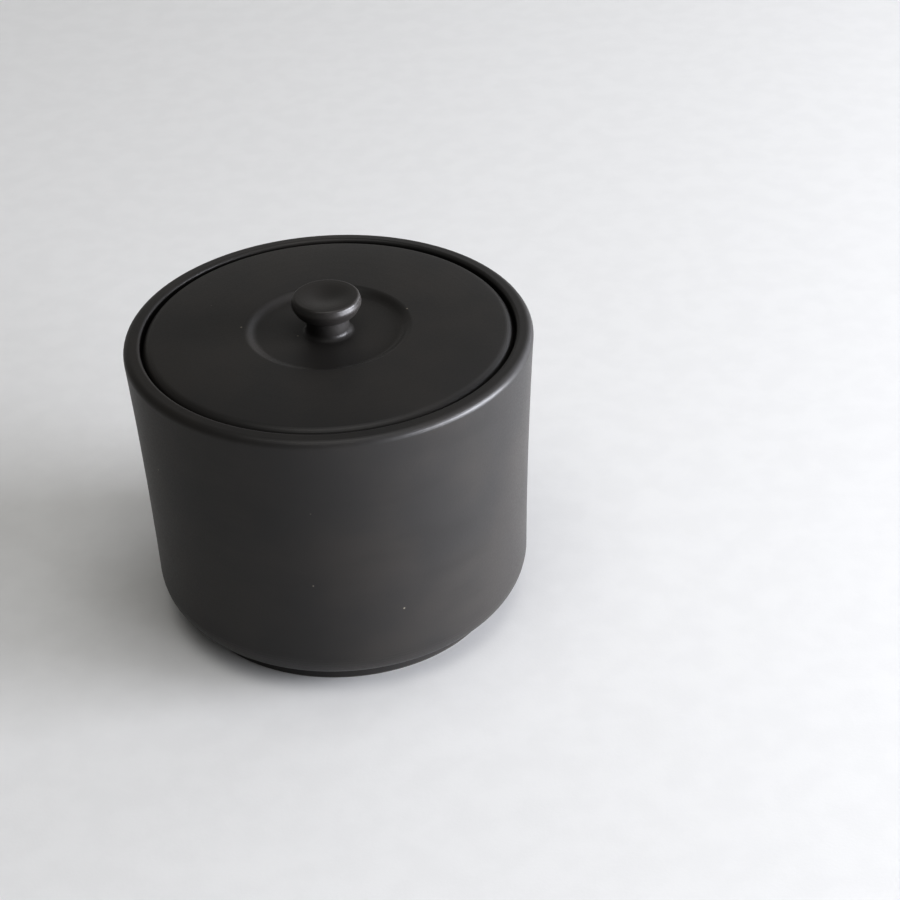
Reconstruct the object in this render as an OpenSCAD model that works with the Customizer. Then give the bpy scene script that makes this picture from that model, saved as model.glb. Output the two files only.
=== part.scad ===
// Lidded sugar bowl in matt black stoneware: bowl, lid and knob.
// Millimetres, +Z up. The origin is the centre of the circle that the foot stands on.
// Every piece is one turned section, drawn as [radius, height] and spun about Z.

/* [Bowl] */
// Diameter across the mouth, measured at the sharp corner before the rim is rounded
rim_d = 100.2; // [80:0.1:130]
// Height from the table to the top of the rim
rim_h = 76.5; // [60:0.1:110]
// How far the wall leans in between the rim and the rounded heel
taper = 2.6; // [0:0.1:5]
// How far the wall bows inwards halfway up
wall_bow = 0.37; // [0:0.01:1]
// Thickness of the wall
wall_t = 4; // [3:0.1:5]
// Width of the rim between its outer and inner edge
rim_w = 4.3; // [3.6:0.1:5]
// Radius of the rounded heel
heel_r = 9.4; // [6:0.1:12]
// Thickness of the floor
floor_t = 4.2; // [3:0.1:7]
// Rounding of the rim on its outer edge
rim_round = 1.9; // [0.8:0.1:2]
// Rounding of the rim on its inner edge
rim_inner_round = 0.9; // [0.4:0.1:1.2]
// How much lower the rim's outer edge is than its inner edge
rim_fall = 0.35; // [0:0.05:0.8]

/* [Foot] */
// How far the foot ring stands in from the wall
foot_inset = 7.1; // [4:0.1:9]
// Height of the heel above the table
foot_h = 3; // [2.2:0.1:5]
// Width of the foot ring
foot_w = 3.6; // [2.5:0.1:6]
// Depth of the hollow inside the foot ring
foot_hollow = 2; // [1:0.1:2.2]

/* [Gallery] */
// Radial gap between the lid's edge and the bowl
lid_gap = 0.5; // [0.4:0.05:1]
// Depth of the ledge that the lid sits on, below the top of the rim
seat_depth = 4.2; // [3.6:0.1:6]
// Width of the ledge
seat_w = 2.6; // [2:0.1:3.5]
// Gap left between the lid and the ledge it sits on
seat_gap = 0.03; // [0.02:0.01:0.1]

/* [Lid] */
// Height of the lid's top edge above the rim (negative is below)
lid_edge_rise = -0.2; // [-0.5:0.1:1]
// Height of the crown at its middle above its edge
lid_crown = 1.2; // [0.5:0.1:4]
// How flat the crown is in the middle: 2 is an even curve, more keeps the fall for the edge
crown_power = 4; // [2:1:8]
// Thickness of the lid
lid_t = 4; // [3:0.1:4.1]
// Rounding of the lid's top edge
lid_edge_round = 2.4; // [0.6:0.1:2.6]
// Outer radius of the sunk ring around the knob
dish_r = 19.9; // [17:0.1:24]
// Depth of the sunk ring
dish_depth = 1.4; // [1:0.1:2]
// Width of the sloping side of the sunk ring
dish_slope_w = 1.9; // [1.9:0.1:3]
// Depth of the flange that keeps the lid in place, below the ledge
flange_h = 5; // [3:0.1:8]
// Radial gap between the flange and the bowl
flange_gap = 0.7; // [0.5:0.05:1.2]
// Thickness of the flange
flange_t = 3.2; // [2.5:0.1:4]

/* [Knob] */
// Largest diameter of the knob's head
knob_d = 17.2; // [14:0.1:22]
// Height of the knob above the floor of the sunk ring
knob_h = 9.9; // [9.6:0.1:14]
// Height of the knob's head
head_h = 5.1; // [4.6:0.1:5.3]
// Diameter of the neck at its narrowest
neck_d = 10.4; // [8:0.1:10.8]
// Radius of the flare at the foot of the neck
flare_r = 1.5; // [1.2:0.1:3.2]
// Depth of the hollow in the knob's top
thumb_hollow = 0.8; // [0.3:0.1:1.2]

/* [Hidden] */
$fn = 180;
clay = "#2b2a28";
arc_steps = 8;

// Bowl
rim_r = rim_d / 2;
base_r = rim_r - taper;
heel_top = foot_h + heel_r;
foot_r = base_r - foot_inset;
heel_at = [base_r - heel_r, heel_top];
heel_from = -acos((foot_r - heel_at.x) / heel_r);
gallery_r = rim_r - rim_w;
seat_z = rim_h - seat_depth;
throat_r = gallery_r - seat_w;
throat_h = 4;
throat_run = 9;
floor_z = foot_hollow + floor_t;
floor_corner = 8;
wall_steps = 8;
inside_top = seat_z - throat_h - throat_run;
inside_low = floor_z + floor_corner + 1;

// Lid
lid_r = gallery_r - lid_gap;
edge_z = rim_h + lid_edge_rise;
under_z = seat_z + seat_gap;
dish_z = crown_z(dish_r) - dish_depth;
dish_floor_r = dish_r - dish_slope_w;
boss_r = dish_r + 1;
flange_r = throat_r - flange_gap;
flange_z = seat_z - flange_h;
crown_end = lid_r - 1.2 * lid_edge_round;
crown_steps = 8;

// Knob
knob_r = knob_d / 2;
neck_r = neck_d / 2;
knob_top = dish_z + knob_h;
head_z = knob_top - head_h;
flare_end = 80;
hollow_r = knob_r - 1.3;
hollow_steps = 8;

// Radius of the bowl's outer wall at height z
function wall_r(z) =
    let (u = (z - heel_top) / (rim_h - heel_top))
    base_r + (rim_r - base_r) * u - 4 * wall_bow * u * (1 - u);

// Height of the lid's crown at radius r
function crown_z(r) = edge_z + lid_crown * (1 - pow(r / lid_r, crown_power));

// Height of the hollow in the knob's top at radius r
function hollow_z(r) = knob_top - thumb_hollow * (1 + cos(180 * r / hollow_r)) / 2;

// Points along an arc
function arc(centre, r, from, to, steps) =
    [for (i = [0 : steps]) let (a = from + (to - from) * i / steps)
        [centre.x + r * cos(a), centre.y + r * sin(a), 0]];

// The corner p between a and b, rounded to the radius in its third number
function corner(a, p, b) =
    p.z == 0 ? [[p.x, p.y]] :
    let (
        here = [p.x, p.y],
        u = ([a.x, a.y] - here) / norm([a.x, a.y] - here),
        v = ([b.x, b.y] - here) / norm([b.x, b.y] - here),
        half = acos(u * v) / 2,
        middle = here + (u + v) / norm(u + v) * p.z / sin(half),
        start = here + u * p.z / tan(half) - middle,
        turn = (cross(u, v) > 0 ? -1 : 1) * (180 - 2 * half)
    )
    [for (i = [0 : arc_steps]) let (t = turn * i / arc_steps)
        middle + [start.x * cos(t) - start.y * sin(t), start.x * sin(t) + start.y * cos(t)]];

// A closed outline of corners [x, y, rounding]
function rounded(corners) =
    let (n = len(corners))
    [for (i = [0 : n - 1]) each corner(corners[(i + n - 1) % n], corners[i], corners[(i + 1) % n])];

module turned(corners) {
    rotate_extrude()
        polygon(rounded(corners));
}

module bowl() {
    underside = [
        [0, foot_hollow, 0],
        [foot_r - foot_w, foot_hollow, 1],
        [foot_r - foot_w, 0, 0.5],
        [foot_r, 0, 0.5]
    ];
    heel = arc(heel_at, heel_r, heel_from, 0, 14);
    wall = [for (i = [1 : wall_steps - 1])
        let (z = heel_top + (rim_h - heel_top) * i / wall_steps) [wall_r(z), z, 0]];
    rim_and_gallery = [
        [rim_r, rim_h - rim_fall, rim_round],
        [gallery_r, rim_h, rim_inner_round],
        [gallery_r, seat_z, 0.4],
        [throat_r, seat_z, 0.8],
        [throat_r, seat_z - throat_h, 4]
    ];
    inside = [for (i = [0 : wall_steps - 2])
        let (z = inside_top + (inside_low - inside_top) * i / (wall_steps - 2))
        [wall_r(z) - wall_t, z, i == 0 ? 4 : 0]];
    floor_edge = [
        [base_r - wall_t, floor_z, floor_corner],
        [0, floor_z, 0]
    ];
    color(clay) turned(concat(underside, heel, wall, rim_and_gallery, inside, floor_edge));
}

module lid() {
    sunk_ring = [
        [0, dish_z, 0],
        [dish_floor_r, dish_z, 2.6],
        [dish_r, crown_z(dish_r), 2.2]
    ];
    crown = [for (i = [1 : crown_steps])
        let (r = dish_r + (crown_end - dish_r) * sin(90 * i / crown_steps)) [r, crown_z(r), 0]];
    edge_and_flange = [
        [lid_r, edge_z, lid_edge_round],
        [lid_r, under_z, 0.8],
        [flange_r, under_z, 0.6],
        [flange_r, flange_z, 1.2],
        [flange_r - flange_t, flange_z, 1.2],
        [flange_r - flange_t, crown_z(flange_r - flange_t) - lid_t, 1.5]
    ];
    underside = [
        [boss_r + dish_slope_w, crown_z(boss_r + dish_slope_w) - lid_t, 1],
        [boss_r, dish_z - lid_t, 1],
        [0, dish_z - lid_t, 0]
    ];
    color(clay) turned(concat(sunk_ring, crown, edge_and_flange, underside));
}

module knob() {
    neck_flare = arc([neck_r + flare_r, dish_z + flare_r], flare_r, 180 + flare_end, 180, 10);
    lift = dish_z - neck_flare[0].y;
    foot = [for (p = neck_flare) [p.x, p.y + lift, 0]];
    head = [
        [neck_r, head_z, 0.8],
        [knob_r - 1.3, head_z + 0.6, 2],
        [knob_r, head_z + 3.1, 1.6],
        [knob_r - 0.5, knob_top, 0.8]
    ];
    hollow = [for (i = [0 : hollow_steps])
        let (r = hollow_r * (1 - i / hollow_steps)) [r, hollow_z(r), 0]];
    color(clay) turned(concat([[0, dish_z, 0]], foot, head, hollow));
}

bowl();
lid();
knob();
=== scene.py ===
"""Looks of the sugar bowl: a black stoneware bowl, its drop-in lid and the lid's knob, on a pale table."""
import math

import bpy
from mathutils import Matrix, Vector


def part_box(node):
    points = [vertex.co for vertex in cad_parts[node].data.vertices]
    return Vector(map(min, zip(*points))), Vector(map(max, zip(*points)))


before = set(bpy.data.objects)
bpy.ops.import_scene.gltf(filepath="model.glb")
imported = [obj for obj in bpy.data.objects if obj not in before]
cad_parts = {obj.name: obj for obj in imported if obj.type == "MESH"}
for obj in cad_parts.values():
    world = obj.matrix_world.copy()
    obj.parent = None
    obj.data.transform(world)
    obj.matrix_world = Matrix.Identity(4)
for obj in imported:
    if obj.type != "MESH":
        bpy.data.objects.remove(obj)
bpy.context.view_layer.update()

MM = 0.001

# Where the finishes change, in millimetres from the turning axis and above the table
bowl_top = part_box("bowl")[1].z / MM
bowl_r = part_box("bowl")[1].x / MM
lid_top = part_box("lid")[1].z / MM
lid_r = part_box("lid")[1].x / MM
knob_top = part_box("knob")[1].z / MM
inside_r = bowl_r - 6.2
inside_low = 5
glaze_line = bowl_top - 8.2
ground_foot = 0.5
lid_underside = lid_top - 3.2
lid_glaze_r = lid_r - 6.3
handled_from, handled_to = knob_top - 4, knob_top - 1

# How softly one finish turns into the next, and how far the glaze wavers, in millimetres to either side
crisp = 0.1
soft = 0.2
waver_reach = 0.8

# Colours
clay_black = "#343332"
clay_brown = "#393735"
clay_dark = "#2f2e2d"
clay_ground = "#57544f"
grog_pale = "#a49d90"
glaze_black = "#2c2c2d"
glaze_thin = "#3a2f26"
table_white = "#e2e2e1"
table_shade = "#e0e0df"
daylight = "#f5f7ff"
room_white = "#f2f1ef"

# How strongly a second colour lies over the clay
smear_strength = 0.3
grog_strength = 0.55

# How rough the finishes are
rubbed_low, rubbed_high = 0.38, 0.44
smear_polish = 0.015
handled_polish = 0.05
glaze_low, glaze_high = 0.18, 0.26
ground_rough = 0.8
table_low, table_high = 0.82, 0.88

# Gloss of fired clay and its glass, and of dull paint
clay_ior = 1.5
clay_specular = 0.4
paint_specular = 0.2

# Each pattern's marks: how wide they are, in millimetres, and how many finer sizes they hold
clay_cloud = (26, 3)
clay_smears = (30, 4)
clay_grit = (0.5, 3)
turning_rings = (1.3, 2)
glaze_waver = (18, 2)
glaze_pools = (14, 2)
orange_peel = (3.5, 1)
scratches = (0.8, 3)
paint_cloud = (9, 4)
paint_tooth = (0.8, 3)
grog_spacing = 7

# How far a pattern is squeezed along x, y and z: smears lie level, and grinding scratches run along x
smear_squeeze = (1, 1, 5)
scratch_squeeze = (0.3, 4, 1)

# Depth of each pattern's relief, in millimetres
grit_depth = 0.012
turning_depth = 0.006
grog_depth = 0.02
peel_depth = 0.03
scratch_depth = 0.03
tooth_depth = 0.015

# The part of a noise, from 0 to 1, over which a pattern comes in
cloudy = (0.35, 0.65)
smeared = (0.48, 0.72)
pooled = (0.4, 0.75)
even = (0.3, 0.7)

# A grain of grog is this small in its share of the clay, and only these shares hold one
grog_grain = (0.05, 0.02)
grog_chosen = (0.72, 0.78)

# Settings and sockets of the nodes used most
SOFTLY = {"interpolation_type": "SMOOTHSTEP"}
AMOUNT, NUMBER_A, NUMBER_B, COLOUR_A, COLOUR_B = 0, 2, 3, 6, 7
COLOURS = {"output": 2, "data_type": "RGBA"}

# The room, in metres from the middle of the table
light_target = (0, 0, 0.05)
window_wall = 1.1
ceiling_height = 1.5
back_wall = 1.2
room_glow = 0.18
table_half = 3.0

# The camera, in metres, degrees and millimetres of film
camera_place = (0.0, -0.45783, 0.34654)
camera_aim = (0.02842, -0.00227, 0.04)
camera_tilt = -2.182
camera_lens = 87.0
camera_film = 36.0


def linear(colour):
    """The linear colour of an sRGB hex one."""
    parts = [int(colour[i:i + 2], 16) / 255 for i in (1, 3, 5)]
    return [c / 12.92 if c <= 0.04045 else ((c + 0.055) / 1.055) ** 2.4 for c in parts] + [1]


def node(tree, kind, inputs, output=0, **settings):
    """Adds a node with its settings, and sets or links its inputs. Gives the output asked for."""
    made = tree.nodes.new("ShaderNode" + kind)
    for name, value in settings.items():
        setattr(made, name, value)
    for name, value in inputs.items():
        if isinstance(value, bpy.types.NodeSocket):
            tree.links.new(value, made.inputs[name])
        else:
            made.inputs[name].default_value = value
    return made.outputs[output]


def span(start, end, low=0.0, high=1.0):
    """Range inputs that go from low to high as the value goes from start to end."""
    return {"From Min": start, "From Max": end, "To Min": low, "To Max": high}


def up_to(limit, softness):
    """Range inputs that are 1 up to the limit and 0 past it, and change softly there."""
    return span(limit + softness, limit - softness)


def marks(place, size, detail):
    """Noise inputs for marks about one size across, in millimetres."""
    return {"Vector": place, "Scale": 1 / size, "Detail": detail}


def turned_place(tree):
    """A point's place in millimetres, with its distance from the turning axis and its height."""
    metres = node(tree, "TexCoord", {}, output="Object")
    place = node(tree, "VectorMath", {0: metres, "Scale": 1 / MM}, operation="SCALE")
    x, y, z = node(tree, "SeparateXYZ", {0: place}).node.outputs
    flat = node(tree, "CombineXYZ", {"X": x, "Y": y})
    radius = node(tree, "VectorMath", {0: flat}, output="Value", operation="LENGTH")
    return place, radius, z


def fired_body(tree, place, radius, z):
    """Bare black stoneware, rubbed smooth before its firing: a soft sheen over nearly even black clay."""
    cloud = node(tree, "TexNoise", marks(place, *clay_cloud))
    patch = node(tree, "MapRange", {"Value": cloud, **span(*cloudy)}, **SOFTLY)
    clay = {AMOUNT: patch, COLOUR_A: linear(clay_black), COLOUR_B: linear(clay_brown)}
    colour = node(tree, "Mix", clay, **COLOURS)

    # The maker's wet rubbing left faint level smears round the wall
    level = node(tree, "VectorMath", {0: place, 1: smear_squeeze}, operation="MULTIPLY")
    rubbing = node(tree, "TexNoise", marks(level, *clay_smears))
    smear = node(tree, "MapRange", {"Value": rubbing, **span(*smeared)}, **SOFTLY)
    darker = node(tree, "Math", {0: smear, 1: smear_strength}, operation="MULTIPLY")
    colour = node(tree, "Mix", {AMOUNT: darker, COLOUR_A: colour, COLOUR_B: linear(clay_dark)}, **COLOURS)

    # Pale grains of grog show here and there at the surface
    distance, share = node(tree, "TexVoronoi", {"Vector": place, "Scale": 1 / grog_spacing}).node.outputs[:2]
    grain = node(tree, "MapRange", {"Value": distance, **span(*grog_grain)}, **SOFTLY)
    number = node(tree, "SeparateColor", {0: share})
    chosen = node(tree, "MapRange", {"Value": number, **span(*grog_chosen)}, **SOFTLY)
    speck = node(tree, "Math", {0: grain, 1: chosen}, operation="MULTIPLY")
    paler = node(tree, "Math", {0: speck, 1: grog_strength}, operation="MULTIPLY")
    colour = node(tree, "Mix", {AMOUNT: paler, COLOUR_A: colour, COLOUR_B: linear(grog_pale)}, **COLOURS)

    # Fine grit breaks up the sheen, and the smears are rubbed a little smoother
    grit = node(tree, "TexNoise", marks(place, *clay_grit))
    rough = node(tree, "MapRange", {"Value": grit, **span(*even, rubbed_low, rubbed_high)}, **SOFTLY)
    polish = node(tree, "Math", {0: smear, 1: smear_polish}, operation="MULTIPLY")
    rough = node(tree, "Math", {0: rough, 1: polish}, operation="SUBTRACT")

    # Faint turning rings run round every wall and floor
    along = node(tree, "Math", {0: radius, 1: z}, operation="ADD")
    ring = node(tree, "CombineXYZ", {"X": along})
    turning = node(tree, "TexNoise", marks(ring, *turning_rings))
    relief = node(tree, "Math", {0: grit, 1: grit_depth}, operation="MULTIPLY")
    for pattern, depth in ((turning, turning_depth), (speck, grog_depth)):
        lift = node(tree, "Math", {0: pattern, 1: depth}, operation="MULTIPLY")
        relief = node(tree, "Math", {0: relief, 1: lift}, operation="ADD")
    return colour, rough, relief


def overlaid(tree, covered, under, over):
    """One look over another where it is covered: colour, roughness and relief."""
    colours = {AMOUNT: covered, COLOUR_A: under[0], COLOUR_B: over[0]}
    rough = {AMOUNT: covered, NUMBER_A: under[1], NUMBER_B: over[1]}
    relief = {AMOUNT: covered, NUMBER_A: under[2], NUMBER_B: over[2]}
    return node(tree, "Mix", colours, **COLOURS), node(tree, "Mix", rough), node(tree, "Mix", relief)


def glaze(tree, place):
    """Poured black glaze, which shines, breaks to brown where it runs thin, and has a faint orange peel."""
    pool = node(tree, "TexNoise", marks(place, *glaze_pools))
    thin = node(tree, "MapRange", {"Value": pool, **span(*pooled)}, **SOFTLY)
    glass = {AMOUNT: thin, COLOUR_A: linear(glaze_black), COLOUR_B: linear(glaze_thin)}
    colour = node(tree, "Mix", glass, **COLOURS)
    rough = node(tree, "MapRange", {"Value": pool, **span(*even, glaze_low, glaze_high)}, **SOFTLY)
    peel = node(tree, "TexNoise", marks(place, *orange_peel))
    return colour, rough, node(tree, "Math", {0: peel, 1: peel_depth}, operation="MULTIPLY")


def ground_clay(tree, place):
    """A foot ground flat after the firing: paler, dry and finely scratched."""
    drawn = node(tree, "VectorMath", {0: place, 1: scratch_squeeze}, operation="MULTIPLY")
    lines = node(tree, "TexNoise", marks(drawn, *scratches))
    grey = {AMOUNT: lines, COLOUR_A: linear(clay_ground), COLOUR_B: linear(clay_brown)}
    colour = node(tree, "Mix", grey, **COLOURS)
    return colour, ground_rough, node(tree, "Math", {0: lines, 1: scratch_depth}, operation="MULTIPLY")


def finish(tree, shader, look):
    """Gives the shader its colour, roughness and relief."""
    colour, rough, relief = look
    tree.links.new(colour, shader.inputs["Base Color"])
    tree.links.new(rough, shader.inputs["Roughness"])
    bump = node(tree, "Bump", {"Height": relief, "Strength": 1.0, "Distance": MM})
    tree.links.new(bump, shader.inputs["Normal"])


def stoneware(name):
    """A stoneware material, its node tree and its shader, with the gloss of fired clay and its glass."""
    material = bpy.data.materials.new(name)
    material.use_nodes = True
    shader = material.node_tree.nodes["Principled BSDF"]
    shader.inputs["IOR"].default_value = clay_ior
    shader.inputs["Specular IOR Level"].default_value = clay_specular
    return material, material.node_tree, shader


def dress(node_name, material):
    """Puts the material on a CAD node."""
    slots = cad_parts[node_name].data.materials
    slots.clear()
    slots.append(material)


def bowl_finish():
    """Stoneware rubbed smooth outside and glazed inside: the wall has a soft sheen, and the inside shines."""
    material, tree, shader = stoneware("bowl_stoneware_rubbed_outside_glazed_inside")
    place, radius, z = turned_place(tree)

    # The glaze stops at a wavering line just under the ledge
    waver = node(tree, "TexNoise", marks(place, *glaze_waver))
    drift = node(tree, "MapRange", {"Value": waver, **span(*even, -waver_reach, waver_reach)}, **SOFTLY)
    level = node(tree, "Math", {0: z, 1: drift}, operation="ADD")
    below = node(tree, "MapRange", {"Value": level, **up_to(glaze_line, soft)}, **SOFTLY)
    within = node(tree, "MapRange", {"Value": radius, **up_to(inside_r, crisp)}, **SOFTLY)
    above = node(tree, "MapRange", {"Value": z, **span(inside_low - crisp, inside_low + crisp)}, **SOFTLY)
    inside = node(tree, "Math", {0: within, 1: above}, operation="MULTIPLY")
    covered = node(tree, "Math", {0: inside, 1: below}, operation="MULTIPLY")

    worn = node(tree, "MapRange", {"Value": z, **up_to(ground_foot, soft)}, **SOFTLY)
    look = overlaid(tree, covered, fired_body(tree, place, radius, z), glaze(tree, place))
    finish(tree, shader, overlaid(tree, worn, look, ground_clay(tree, place)))
    dress("bowl", material)


def lid_finish():
    """The same rubbed stoneware on top, glazed under the lid within its flange, and bare where it sits."""
    material, tree, shader = stoneware("lid_stoneware_rubbed_glazed_underneath")
    place, radius, z = turned_place(tree)
    within = node(tree, "MapRange", {"Value": radius, **up_to(lid_glaze_r, soft)}, **SOFTLY)
    below = node(tree, "MapRange", {"Value": z, **up_to(lid_underside, crisp)}, **SOFTLY)
    covered = node(tree, "Math", {0: within, 1: below}, operation="MULTIPLY")
    finish(tree, shader, overlaid(tree, covered, fired_body(tree, place, radius, z), glaze(tree, place)))
    dress("lid", material)


def knob_finish():
    """Rubbed stoneware, worn a little smoother by the fingers that lift it."""
    material, tree, shader = stoneware("knob_stoneware_rubbed")
    place, radius, z = turned_place(tree)
    colour, rough, relief = fired_body(tree, place, radius, z)
    handled = node(tree, "MapRange", {"Value": z, **span(handled_from, handled_to)}, **SOFTLY)
    polish = node(tree, "Math", {0: handled, 1: handled_polish}, operation="MULTIPLY")
    rough = node(tree, "Math", {0: rough, 1: polish}, operation="SUBTRACT")
    finish(tree, shader, (colour, rough, relief))
    dress("knob", material)


def table_finish():
    """Board painted matt white: nearly even, with a very fine tooth that keeps it from shining."""
    material = bpy.data.materials.new("table_board_painted_matt")
    material.use_nodes = True
    tree = material.node_tree
    shader = tree.nodes["Principled BSDF"]
    shader.inputs["Specular IOR Level"].default_value = paint_specular
    place = turned_place(tree)[0]
    cloud = node(tree, "TexNoise", marks(place, *paint_cloud))
    patch = node(tree, "MapRange", {"Value": cloud, **span(*cloudy)}, **SOFTLY)
    paint = {AMOUNT: patch, COLOUR_A: linear(table_white), COLOUR_B: linear(table_shade)}
    colour = node(tree, "Mix", paint, **COLOURS)
    tooth = node(tree, "TexNoise", marks(place, *paint_tooth))
    rough = node(tree, "MapRange", {"Value": tooth, **span(*even, table_low, table_high)}, **SOFTLY)
    relief = node(tree, "Math", {0: tooth, 1: tooth_depth}, operation="MULTIPLY")
    finish(tree, shader, (colour, rough, relief))
    return material


def table():
    """A wide, flat table top at height 0."""
    half = table_half
    mesh = bpy.data.meshes.new("table")
    corners = [(-half, -half, 0), (half, -half, 0), (half, half, 0), (-half, half, 0)]
    mesh.from_pydata(corners, [], [(0, 1, 2, 3)])
    mesh.materials.append(table_finish())
    top = bpy.data.objects.new("table", mesh)
    bpy.context.scene.collection.objects.link(top)


def panel(name, centre, width, height, radiance, colour):
    """A flat light of that size that faces the bowl, as bright as a lit surface of that radiance."""
    light = bpy.data.lights.new(name, "AREA")
    light.shape = "RECTANGLE"
    light.size, light.size_y = width, height
    light.energy = math.pi * width * height * radiance
    light.color = linear(colour)[:3]
    lamp = bpy.data.objects.new(name, light)
    lamp.location = centre
    lamp.rotation_euler = (Vector(light_target) - Vector(centre)).to_track_quat("-Z", "Y").to_euler()
    bpy.context.scene.collection.objects.link(lamp)


def daylight_room():
    """A long low window to the right, a pale ceiling, and a little light back from the far walls."""
    panel("window_front", (window_wall, -0.85, 0.24), 0.7, 0.46, 6.5, daylight)
    panel("window_middle", (window_wall, -0.2, 0.24), 0.6, 0.46, 17.0, daylight)
    panel("window_sill", (window_wall, -0.45, 0.1), 1.2, 0.2, 19.0, daylight)
    panel("window_far", (window_wall, 0.75, 0.3), 0.7, 0.5, 2.2, daylight)
    panel("ceiling", (0, -0.3, ceiling_height), 1.2, 1.2, 1.6, room_white)
    panel("wall_back", (0, back_wall, 0.3), 2.0, 0.5, 0.3, room_white)
    panel("wall_back_high", (0, back_wall, 0.95), 2.0, 0.7, 0.12, room_white)
    panel("back_right", (0.9, 1.0, 0.7), 0.8, 0.8, 0.5, daylight)
    world = bpy.data.worlds.new("room")
    bpy.context.scene.world = world
    world.use_nodes = True
    backdrop = world.node_tree.nodes["Background"]
    backdrop.inputs["Color"].default_value = linear(room_white)
    backdrop.inputs["Strength"].default_value = room_glow


def camera():
    """Looks down at the bowl from the front, with a slight tilt of the horizon."""
    place, aim = Vector(camera_place), Vector(camera_aim)
    tilt = Matrix.Rotation(math.radians(camera_tilt), 4, "Z")
    view = bpy.data.cameras.new("camera")
    view.lens, view.sensor_width = camera_lens, camera_film
    eye = bpy.data.objects.new("camera", view)
    level = (aim - place).to_track_quat("-Z", "Y").to_matrix().to_4x4()
    eye.matrix_world = Matrix.Translation(place) @ level @ tilt
    bpy.context.scene.collection.objects.link(eye)
    bpy.context.scene.camera = eye


bowl_finish()
lid_finish()
knob_finish()
table()
daylight_room()
camera()
bpy.context.scene.view_settings.view_transform = "Standard"
bpy.context.scene.view_settings.look = "High Contrast"
